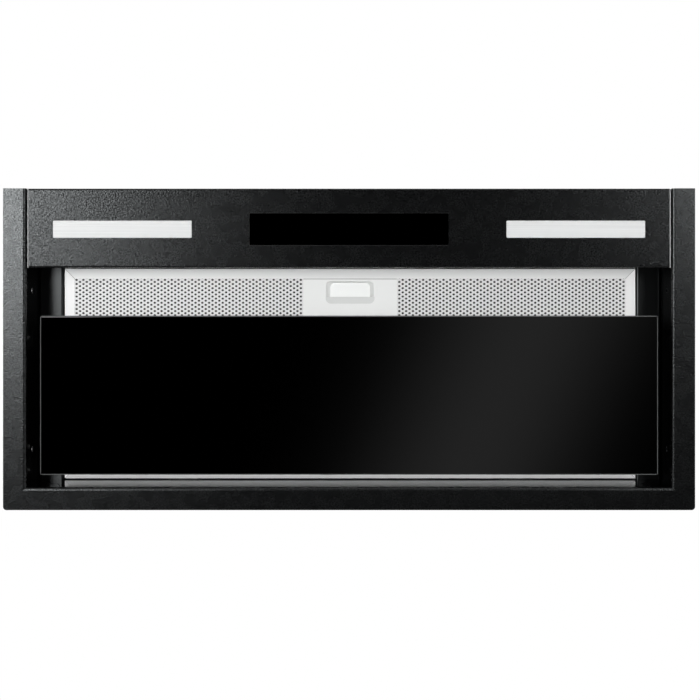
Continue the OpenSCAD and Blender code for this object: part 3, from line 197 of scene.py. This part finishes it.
class Finish:
    """A material under construction: a principled shader and the nodes that feed it."""

    def __init__(self, name, colour, roughness, metallic=0.0):
        self.material = bpy.data.materials.new(name)
        self.material.use_nodes = True
        self.tree = self.material.node_tree
        self.shader = self.tree.nodes["Principled BSDF"]
        self.set("Base Color", (*colour, 1.0))
        self.set("Roughness", roughness)
        self.set("Metallic", metallic)
        self.coordinates = self.node("TexCoord")

    def set(self, socket, value):
        self.shader.inputs[socket].default_value = value

    def feed(self, socket, output):
        self.tree.links.new(output, self.shader.inputs[socket])

    def node(self, kind, inputs=(), **settings):
        return add_node(self.tree, kind, inputs, **settings)

    def math(self, operation, *values):
        return calculate(self.tree, operation, *values)

    def vector(self, operation, *values):
        """The result of a Vector Math node on one or two vectors."""
        return self.node("VectorMath", dict(enumerate(values)), operation=operation).outputs[0]

    def place(self, stretch=(1.0, 1.0, 1.0)):
        """The point on the piece, in metres, stretched along X, Y and Z."""
        mapping = self.node("Mapping", {"Vector": self.coordinates.outputs["Object"], "Scale": stretch})
        return mapping.outputs["Vector"]

    def axis(self, letter, vector="Object"):
        """The piece's own coordinate along X, Y or Z, in metres, or that part of its normal."""
        return self.node("SeparateXYZ", {"Vector": self.coordinates.outputs[vector]}).outputs[letter]

    def noise(self, scale, detail=2.0, roughness=0.5, stretch=(1.0, 1.0, 1.0)):
        made = self.node("TexNoise", {
            "Vector": self.place(stretch), "Scale": scale, "Detail": detail, "Roughness": roughness,
        })
        return made.outputs["Fac"]

    def to_cell_edge(self, scale):
        """Distance to the nearest edge between cells, in cells."""
        made = self.node("TexVoronoi", {"Vector": self.place(), "Scale": scale},
                         feature="DISTANCE_TO_EDGE")
        return made.outputs["Distance"]

    def crystals(self, scale):
        """A random level for each crystal, 0 to 1."""
        made = self.node("TexVoronoi", {"Vector": self.place(), "Scale": scale})
        return self.node("SeparateColor", {0: made.outputs["Color"]}).outputs[0]

    def span(self, value, low, high, start=0.0, end=1.0):
        """value, from start to end, turned into low to high."""
        made = self.node("MapRange", {
            "Value": value, "From Min": start, "From Max": end, "To Min": low, "To Max": high,
        })
        return made.outputs["Result"]

    def vary(self, noise, low, high):
        """A noise's usual range, turned into low to high."""
        return self.span(noise, low, high, NOISE_LOW, NOISE_HIGH)

    def mix(self, amount, first, second):
        """first where amount is 0, second where it is 1; each a colour or the output of a node."""
        inputs = {MIX_FACTOR: amount}
        for index, colour in ((MIX_FIRST, first), (MIX_SECOND, second)):
            linked = isinstance(colour, bpy.types.NodeSocket)
            inputs[index] = colour if linked else (*colour, 1.0)
        return self.node("Mix", inputs, data_type="RGBA").outputs[MIX_RESULT]

    def bump(self, height, distance, strength=1.0):
        """Relief; strength is a number, or the output of a node."""
        made = self.node("Bump", {"Height": height, "Distance": distance, "Strength": strength})
        self.feed("Normal", made.outputs["Normal"])

    def satin_grain(self, roughness):
        """A faint grain along the piece, in relief and in dullness."""
        grain = self.noise(6.0, 3.0, 0.6, SATIN_STRETCH)
        self.bump(grain, 0.01 * MM, 0.6)
        self.feed("Roughness", self.vary(grain, roughness - 0.06, roughness + 0.08))

    def moulded_grain(self):
        """The fine relief that a spark-eroded mould leaves."""
        self.bump(self.noise(900.0), 0.02 * MM, 0.6)


def powder_coat(name, gloss=0.5, swing=0.55, inner_gloss=0.5, inner_roughness=0.12, roughness=0.27):
    """Black powder coat: fine orange peel outside, and a smoother skin up inside the well."""
    made = Finish(name, COAT_BLACK, roughness)
    made.set("Specular Tint", COAT_TINT)
    inside = made.span(made.axis("Z"), 0.0, 1.0, WELL_FROM, WELL_TO)
    peel = made.vary(made.noise(COAT_GRAIN), (1 - swing) * gloss, (1 + swing) * gloss)
    made.feed("Specular IOR Level", made.span(inside, peel, inner_gloss))
    made.bump(made.noise(COAT_GRAIN, 1.0), COAT_DEPTH, made.span(inside, 1.0, 0.04))
    outside = made.vary(made.noise(90.0), roughness - 0.02, roughness + 0.03)
    made.feed("Roughness", made.span(inside, outside, inner_roughness))
    return made


def band_finish(name):
    """The control band's coat, with a painted highlight: a fine pale line along its two cut ends, where
    their folds catch the side light.
    """
    made = powder_coat(name, gloss=0.31, swing=0.9, inner_gloss=0.03)
    low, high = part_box("control_band")
    aside = made.math("ABSOLUTE", made.math("SUBTRACT", made.axis("X"), (low.x + high.x) / 2))
    inner = (high.x - low.x) / 2 - END_HIGHLIGHT_WIDTH
    end = made.span(aside, 0.0, 1.0, inner - END_HIGHLIGHT_BLUR, inner + END_HIGHLIGHT_BLUR)
    under = made.span(made.axis("Z"), 1.0, 0.0, 0.0, END_HIGHLIGHT_HEIGHT)
    # Painted highlight: pale grey along the band's two ends, low on them
    made.feed("Base Color", made.mix(made.math("MULTIPLY", end, under), COAT_BLACK, END_HIGHLIGHT_GREY))
    return made


def satin_aluminium(name, colour, roughness=0.5):
    """Satin anodised aluminium with a faint grain along the piece."""
    made = Finish(name, colour, roughness, SATIN_METALLIC)
    made.satin_grain(roughness)
    return made


def sheet_finish(name):
    """The perforated face: satin aluminium, with painted shade on the walls of its holes."""
    made = satin_aluminium(name, SHEET_METAL, 0.45)
    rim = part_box("filter_face")[0].z + HOLE_SINK
    deep = made.span(made.axis("Z"), 0.0, 1.0, rim, rim + HOLE_SHADE)
    # Painted shade: the hole walls turn near-black below the rim
    made.feed("Base Color", made.mix(deep, SHEET_METAL, HOLE_PAINTED_SHADE))
    return made


def mitred_rails(name):
    """Satin anodised rails that meet in mitred corners, each with a fine seam.

    The cross rails carry painted shade: they are darker than the side rails, and darker still towards their
    outer edge, beside the band and the rear wall.
    """
    made = satin_aluminium(name, RAIL_SIDE)
    low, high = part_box("filter_frame")
    from_middle = made.vector("SUBTRACT", made.coordinates.outputs["Object"], (low + high) / 2)
    inwards = made.vector("SUBTRACT", (high - low) / 2, made.vector("ABSOLUTE", from_middle))
    edges = made.node("SeparateXYZ", {"Vector": inwards})
    beside = made.math("SUBTRACT", edges.outputs["X"], edges.outputs["Y"])
    on_cross = made.span(beside, 0.0, 1.0, -0.05 * MM, 0.05 * MM)
    across = made.span(edges.outputs["Y"], 0.0, 1.0, 1.0 * MM, 8.0 * MM)
    # Painted shade: cross rails darker than side rails, darkest at their outer edge
    metal = made.mix(on_cross, RAIL_SIDE, made.mix(across, RAIL_EDGE_PAINTED_SHADE, RAIL_CROSS_PAINTED_SHADE))
    beyond_seam = made.span(made.math("ABSOLUTE", beside), 0.0, 1.0, 0.12 * MM, 0.4 * MM)
    made.feed("Base Color", made.mix(beyond_seam, SEAM_GREY, metal))
    return made


def zinc(name):
    """Galvanised steel: crystals a few millimetres wide, each with its own grey and dullness."""
    made = Finish(name, (0.52, 0.54, 0.55), 0.42, 0.9)
    crystal = made.crystals(230.0)
    made.feed("Base Color", made.mix(crystal, (0.50, 0.515, 0.525), (0.57, 0.585, 0.595)))
    made.feed("Roughness", made.span(crystal, 0.46, 0.36))
    made.bump(made.noise(500.0), 0.01 * MM, 0.5)
    return made


def turned_steel(name):
    """Bright steel with fine tool marks."""
    roughness = 0.28
    made = Finish(name, (0.62, 0.62, 0.61), roughness, 1.0)
    made.bump(made.noise(1800.0), 0.004 * MM, 0.6)
    made.feed("Roughness", made.vary(made.noise(140.0), roughness - 0.06, roughness + 0.1))
    return made


def moulded_plastic(name, colour, roughness=0.45):
    """Moulded plastic with a fine spark-eroded grain."""
    made = Finish(name, colour, roughness)
    made.moulded_grain()
    made.feed("Roughness", made.vary(made.noise(60.0), roughness - 0.05, roughness + 0.08))
    return made


def latch_finish(name):
    """Pale moulded plate with a fine shadow line along its front edge, where the rail meets it."""
    made = Finish(name, LATCH_PALE, 0.4)
    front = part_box("latch_plate")[0].y
    behind = made.span(made.axis("Y"), 0.0, 1.0, front + LATCH_LINE_FROM, front + LATCH_LINE_TO)
    made.feed("Base Color", made.mix(behind, LATCH_LINE, LATCH_PALE))
    made.moulded_grain()
    return made


def slider_finish(name):
    """Pale moulded slider whose tongues, in front of the filter, carry painted shade in near-black."""
    made = Finish(name, SLIDER_PALE, 0.4)
    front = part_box("filter_frame")[0].y
    ahead = made.span(made.axis("Y"), 1.0, 0.0, front, front + 0.5 * MM)
    # Painted shade: the tongues ahead of the filter's front edge go near-black
    made.feed("Base Color", made.mix(ahead, SLIDER_PALE, TONGUE_PAINTED_SHADE))
    made.moulded_grain()
    return made


def black_glass(name):
    """Black glass whose ground edges are paler and duller than its face."""
    made = Finish(name, (0.0, 0.0, 0.0), 0.02)
    made.set("IOR", 1.5)
    edge = made.span(made.math("ABSOLUTE", made.axis("Z", "Normal")), 1.0, 0.0, 0.80, 0.97)
    made.feed("Base Color", made.mix(edge, (0.0, 0.0, 0.0), (0.12, 0.125, 0.125)))
    made.feed("Roughness", made.span(edge, 0.01, 0.45))
    return made


def frosted_lens(name):
    """Frosted lamp lens, milky, with faint streaks along it."""
    made = Finish(name, (0.68, 0.69, 0.69), 0.42)
    streaks = made.vary(made.noise(3.0, stretch=(2.0, 260.0, 1.0)), 0.0, 1.0)
    made.feed("Base Color", made.mix(streaks, (0.64, 0.65, 0.65), (0.72, 0.73, 0.73)))
    made.set("Subsurface Weight", 0.15)
    made.set("Subsurface Radius", (3.0 * MM, 3.0 * MM, 3.0 * MM))
    made.set("Subsurface Scale", 1.0)
    made.bump(made.noise(2500.0), 0.01 * MM, 0.5)
    return made


def rubber(name):
    """Black rubber with a fine matt grain."""
    made = Finish(name, (0.015, 0.015, 0.016), 0.7)
    made.bump(made.noise(1500.0), 0.02 * MM, 0.5)
    return made


def mesh_layers_painted_shade(name):
    """The filter's stacked expanded mesh, seen through the perforation, coloured near-black as painted
    shade, darkest in the gaps between its strands.
    """
    made = Finish(name, (0.12, 0.12, 0.12), 0.5, 0.4)
    strands = made.to_cell_edge(420.0)
    gap = made.span(strands, 0.0, 1.0, 0.02, 0.35)
    # Painted shade: near-black strands, darker still in the gaps between them
    made.feed("Base Color", made.mix(gap, (0.05, 0.05, 0.049), (0.006, 0.006, 0.006)))
    made.bump(strands, 0.4 * MM)
    return made


def dress(finish, *names):
    """Gives CAD nodes their material."""
    for name in names:
        slots = nodes[name].data.materials
        slots.clear()
        slots.append(finish.material)


sheet_metal = sheet_finish("anodised_face")
bright_steel = turned_steel("bright_steel")
rail_metal = satin_aluminium("anodised_parts", RAIL_SIDE)
coat_inside = powder_coat("powder_coat_deck", inner_roughness=0.3)

dress(powder_coat("powder_coat_black"), "frame")
dress(band_finish("powder_coat_band"), "control_band")
dress(coat_inside, "filter_deck", "hinge_bracket_left", "hinge_bracket_right",
      "catch_bracket_left", "catch_bracket_right", "panel_carrier")
dress(zinc("galvanised_steel"), "control_cover", "housing_wrap", "housing_side_left",
      "housing_side_right", "motor_bracket", "capacitor_clip", "lamp_module_left",
      "lamp_module_right")
dress(bright_steel, "deck_rivets", "housing_rivets", "motor_shaft", "flap_pin", "hinge_pins",
      "catch_magnets", "latch_spring", "capacitor")
dress(moulded_plastic("motor_can", (0.10, 0.105, 0.11), 0.35), "motor")
dress(moulded_plastic("dark_plastic", (0.02, 0.021, 0.022)), "scroll_left", "scroll_right",
      "impeller", "touch_board", "junction_box", "junction_cover", "cable_gland", "outlet_collar")
dress(moulded_plastic("pale_plastic", (0.72, 0.72, 0.69), 0.5), "control_box",
      "control_box_lid", "flap_front", "flap_rear")
dress(rubber("black_rubber"), "motor_bushes", "panel_tape")
dress(frosted_lens("frosted_lens"), "lamp_lens_left", "lamp_lens_right")
dress(black_glass("display_glass"), "touch_glass")
dress(black_glass("black_glass"), "glass_panel")
dress(mitred_rails("anodised_rails"), "filter_frame")
# The rear tabs get painted shade, near-black instead of their aluminium colour
dress(satin_aluminium("tabs_in_painted_shade", TAB_PAINTED_SHADE), "filter_tabs")
dress(rail_metal, "filter_back", "filter_face")
dress(latch_finish("pale_latch"), "latch_plate")
dress(slider_finish("pale_slider"), "latch_slider")
dress(mesh_layers_painted_shade("mesh_layers_painted_shade"), "filter_pack")


def new_object(name, mesh, finish):
    """A new object of that mesh, in the scene and finished."""
    made = bpy.data.objects.new(name, mesh)
    made.data.materials.append(finish.material)
    bpy.context.scene.collection.objects.link(made)
    return made


def finished_mesh(name, built):
    """The bmesh as a mesh of that name."""
    mesh = bpy.data.meshes.new(name)
    built.to_mesh(mesh)
    built.free()
    return mesh


def punched_cell(built, centre, half_x, half_y):
    """Quads from a cell's rectangle to the sunk rim of its hole, and the hole's wall."""
    x, y, z = centre
    sides = len(CELL_POINTS)
    outer = []
    rim = []
    deep = []
    for k, (towards_x, towards_y) in enumerate(CELL_POINTS):
        angle = 2 * math.pi * k / sides
        rim_x = x + HOLE_RX * math.cos(angle)
        rim_y = y + HOLE_RY * math.sin(angle)
        outer.append(built.verts.new((x + towards_x * half_x, y + towards_y * half_y, z)))
        rim.append(built.verts.new((rim_x, rim_y, z + HOLE_SINK)))
        deep.append(built.verts.new((rim_x, rim_y, z + FACE_T)))
    for k in range(sides):
        n = (k + 1) % sides
        built.faces.new((outer[k], rim[k], rim[n], outer[n]))
        built.faces.new((rim[k], deep[k], deep[n], rim[n]))


def perforated_face():
    """One sheet of staggered cells, each a hole with a rolled rim, clear of rails and latch."""
    low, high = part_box("filter_face")
    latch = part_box("latch_plate")[1]
    half_x = HOLE_PITCH_X / 4
    half_y = HOLE_PITCH_Y / 2
    columns = int((high.x - low.x - 2 * SHEET_EDGE) / (2 * half_x))
    rows = int((high.y - low.y - 2 * SHEET_EDGE) / HOLE_PITCH_Y)
    start_x = -(columns - 1) * half_x
    start_y = (low.y + high.y) / 2 - (rows - 1) * half_y
    built = bmesh.new()
    for i in range(columns):
        x = start_x + i * 2 * half_x
        staggered = i % 2
        for j in range(rows - staggered):
            y = start_y + j * HOLE_PITCH_Y + staggered * half_y
            under_latch = abs(x) < latch.x - half_x and y < latch.y - half_y
            if not under_latch:
                punched_cell(built, (x, y, low.z), half_x, half_y)
    return finished_mesh("filter_mesh", built)


def fine_face():
    """The filter's face sheet with its photographed perforation."""
    face = new_object("filter_mesh", perforated_face(), sheet_metal)
    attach(face, "filter")
    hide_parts("filter_face")


def squeezed_spring():
    """A copy of the latch's spring, parented to the filter in place of the imported one."""
    mesh = nodes["latch_spring"].data.copy()
    mesh.materials.clear()
    spring = new_object("latch_spring_wire", mesh, bright_steel)
    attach(spring, "filter")
    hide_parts("latch_spring")
    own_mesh(spring)


def screw_head(built, centre, up, radius):
    """A pan head on the surface at centre, up away from it, with a sunk star for the driver."""
    turn = Vector((0.0, 0.0, 1.0)).rotation_difference(up).to_matrix()
    rings = []
    for profile, notch in ((HEAD_PROFILE, 1.0), (STAR_PROFILE, STAR_NOTCH)):
        for r, z in profile:
            ring = []
            for k in range(HEAD_STEPS):
                angle = 2 * math.pi * k / HEAD_STEPS
                reach = r * notch if k % STAR_STEP == STAR_STEP // 2 else r
                point = Vector((reach * math.cos(angle), reach * math.sin(angle), z)) * radius
                ring.append(built.verts.new(centre + turn @ point))
            rings.append(ring)
    for low_ring, high_ring in zip(rings, rings[1:]):
        for k in range(HEAD_STEPS):
            n = (k + 1) % HEAD_STEPS
            built.faces.new((low_ring[k], low_ring[n], high_ring[n], high_ring[k]))
    built.faces.new(rings[-1])
    built.faces.new(list(reversed(rings[0])))


def screws(name, places, up, radius):
    """One piece with a screw head at each place."""
    built = bmesh.new()
    for place in places:
        screw_head(built, Vector(place), Vector(up), radius)
    piece = new_object(name, finished_mesh(name, built), bright_steel)
    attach(piece, "hood")


def corners(node, inset_x, inset_y, z):
    """The four corners of a node's box, moved in, at height z."""
    low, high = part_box(node)
    return [(x, y, z)
            for x in (low.x + inset_x, high.x - inset_x)
            for y in (low.y + inset_y, high.y - inset_y)]


def roof_screws():
    """Screws of the collar's base, the junction box's lugs and two corners of its cover."""
    up = (0, 0, 1)
    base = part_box("outlet_collar")[0].z + COLLAR_BASE_T
    screws("collar_screws", corners("outlet_collar", COLLAR_SCREW_IN, COLLAR_SCREW_IN, base),
           up, COLLAR_SCREW_R)

    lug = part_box("junction_box")[0].z + LUG_T
    screws("junction_box_screws", corners("junction_box", LUG_IN, LUG_LEN / 2, lug), up, LUG_SCREW_R)

    low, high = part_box("junction_cover")
    lid_corners = corners("junction_cover", LID_SCREW_IN, LID_SCREW_IN, (low.z + high.z) / 2)
    screws("junction_cover_screws", [lid_corners[0], lid_corners[3]], up, LID_SCREW_R)


def bracket_screws():
    """Screws under the feet of the hinge brackets, two each, and of the catch brackets."""
    feet = []
    for node, steps in (("hinge_bracket", (-FOOT_SCREW_STEP, FOOT_SCREW_STEP)), ("catch_bracket", (0.0,))):
        for side in ("_left", "_right"):
            low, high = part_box(node + side)
            x = math.copysign(max(-low.x, high.x) - FOOT_SCREW_IN, low.x)
            y = (low.y + high.y) / 2
            feet += [(x, y + step, high.z - BRACKET_T) for step in steps]
    screws("bracket_screws", feet, (0, 0, -1), FOOT_SCREW_R)


fine_face()
squeezed_spring()
roof_screws()
bracket_screws()


def stage_plane(name, size_x, size_y, height, material):
    """A flat sheet of the stage, centred under the hood."""
    mesh = bpy.data.meshes.new(name)
    hx, hy = size_x / 2, size_y / 2
    mesh.from_pydata([(-hx, -hy, 0), (hx, -hy, 0), (hx, hy, 0), (-hx, hy, 0)], [], [(0, 1, 2, 3)])
    mesh.materials.append(material)
    made = bpy.data.objects.new(name, mesh)
    made.location = (0, 0, height)
    bpy.context.scene.collection.objects.link(made)
    return made


def shown_rays(tree):
    """1 for what the camera sees, also by mirror or through glass, and 0 for the rest of the light."""
    path = add_node(tree, "LightPath")
    seen = path.outputs["Is Camera Ray"]
    for kind in ("Is Glossy Ray", "Is Transmission Ray"):
        total = add_node(tree, "Math", {0: seen, 1: path.outputs[kind]}, operation="ADD", use_clamp=True)
        seen = total.outputs[0]
    return seen


def floor_material():
    """Pale floor that takes shadows; it is shown paler than it lights the object, and fades to white."""
    made = Finish("floor_pale", (0.82, 0.82, 0.82), 0.7)
    made.set("Emission Color", WHITE)
    reach = made.node("VectorMath", {0: made.coordinates.outputs["Object"]}, operation="LENGTH")
    lift = made.span(reach.outputs["Value"], FLOOR_LIFT_NEAR, FLOOR_LIFT_FAR, FLOOR_NEAR, FLOOR_FAR)
    made.feed("Emission Strength", made.math("MULTIPLY", lift, shown_rays(made.tree)))
    return made.material


def card_material():
    """Black card with one soft-edged diagonal strip of light, glowing towards its rim."""
    material = bpy.data.materials.new("studio_card")
    material.use_nodes = True
    tree = material.node_tree
    tree.nodes.clear()
    point = add_node(tree, "TexCoord").outputs["Object"]
    place = add_node(tree, "SeparateXYZ", {"Vector": point})

    normal = (math.cos(STRIP_ANGLE) / STRIP_SPREAD, math.sin(STRIP_ANGLE) / STRIP_SPREAD, 0.0)
    across = add_node(tree, "VectorMath", {0: point, 1: normal}, operation="DOT_PRODUCT")
    offset = calculate(tree, "SUBTRACT", across.outputs["Value"], normal[0] * STRIP_X + normal[1] * STRIP_Y)
    fall = calculate(tree, "POWER", 0.5, calculate(tree, "MULTIPLY", offset, offset))
    along = calculate(tree, "ABSOLUTE", calculate(tree, "SUBTRACT", place.outputs["Y"], STRIP_MIDDLE_Y))
    level = add_node(tree, "MapRange", {
        "Value": along, "From Min": STRIP_HALF_LENGTH, "From Max": STRIP_HALF_LENGTH + STRIP_END,
        "To Min": STRIP_PEAK, "To Max": 0.0,
    })
    strip = calculate(tree, "MULTIPLY", fall, level.outputs["Result"])

    far_x = calculate(tree, "ABSOLUTE", calculate(tree, "MULTIPLY", place.outputs["X"], 2 / CARD_X))
    far_y = calculate(tree, "ABSOLUTE", calculate(tree, "MULTIPLY", place.outputs["Y"], 2 / CARD_Y))
    rim = add_node(tree, "MapRange", {
        "Value": calculate(tree, "MAXIMUM", far_x, far_y), "From Min": CARD_GLOW_FROM, "From Max": 1.0,
        "To Min": 0.0, "To Max": CARD_GLOW,
    }, interpolation_type="SMOOTHSTEP")

    glow = add_node(tree, "Emission", {"Strength": calculate(tree, "ADD", strip, rim.outputs["Result"])})
    add_node(tree, "OutputMaterial", {"Surface": glow.outputs[0]})
    return material


def white_world():
    """White for the camera and in reflections, and a plain level for the rest of the light."""
    world = bpy.data.worlds.new("studio")
    world.use_nodes = True
    tree = world.node_tree
    shown = tree.nodes["Background"]
    shown.inputs["Color"].default_value = WHITE
    shown.inputs["Strength"].default_value = 1.0
    fill = add_node(tree, "Background", {"Color": WHITE, "Strength": WORLD_FILL})
    mix = add_node(tree, "MixShader", {
        "Fac": shown_rays(tree), 1: fill.outputs[0], 2: shown.outputs[0],
    })
    tree.links.new(mix.outputs[0], tree.nodes["World Output"].inputs["Surface"])
    bpy.context.scene.world = world


def softbox(name, place, target, size, radiance, glossy=True, diffuse=True):
    """Rectangular lamp of that radiance."""
    light = bpy.data.lights.new(name, "AREA")
    light.shape = "RECTANGLE"
    light.size, light.size_y = size
    light.energy = radiance * math.pi * size[0] * size[1]
    made = bpy.data.objects.new(name, light)
    made.location = place
    made.rotation_euler = (Vector(target) - Vector(place)).to_track_quat("-Z", "Y").to_euler()
    made.visible_camera = False
    made.visible_glossy = glossy
    made.visible_diffuse = diffuse
    bpy.context.scene.collection.objects.link(made)


def camera_below():
    """The camera, straight under the hood."""
    data = bpy.data.cameras.new("camera")
    data.lens = CAMERA_LENS
    data.sensor_width = CAMERA_SENSOR
    data.shift_x = CAMERA_SHIFT_X
    data.shift_y = CAMERA_SHIFT_Y
    camera = bpy.data.objects.new("camera", data)
    camera.location = CAMERA_PLACE
    camera.rotation_euler = (math.pi, 0.0, 0.0)
    bpy.context.scene.collection.objects.link(camera)
    bpy.context.scene.camera = camera


stage_plane("floor", FLOOR_SIZE, FLOOR_SIZE, FLOOR_Z, floor_material())
card = stage_plane("card", CARD_X, CARD_Y, FLOOR_Z + CARD_LIFT, card_material())
card.visible_camera = False
card.visible_diffuse = False
card.visible_shadow = False
card.visible_transmission = False

softbox("fill", place=(0.0, -0.22, -1.5), target=(0.0, -0.22, 0.0), size=(1.3, 0.10),
        radiance=46.5, glossy=False)
softbox("key_left", place=(-0.92, -0.43, -1.30), target=(-0.28, -0.25, 0.0), size=(0.6, 0.75),
        radiance=13.5, diffuse=False)
softbox("key_right", place=(0.95, -0.58, -1.30), target=(0.28, -0.25, 0.0), size=(0.4, 0.5),
        radiance=12.5, diffuse=False)
softbox("top", place=(0.6, -0.9, 2.2), target=(0.0, -0.1, 0.1), size=(2.4, 2.4), radiance=0.55)

white_world()
camera_below()
bpy.context.scene.view_settings.view_transform = "Standard"
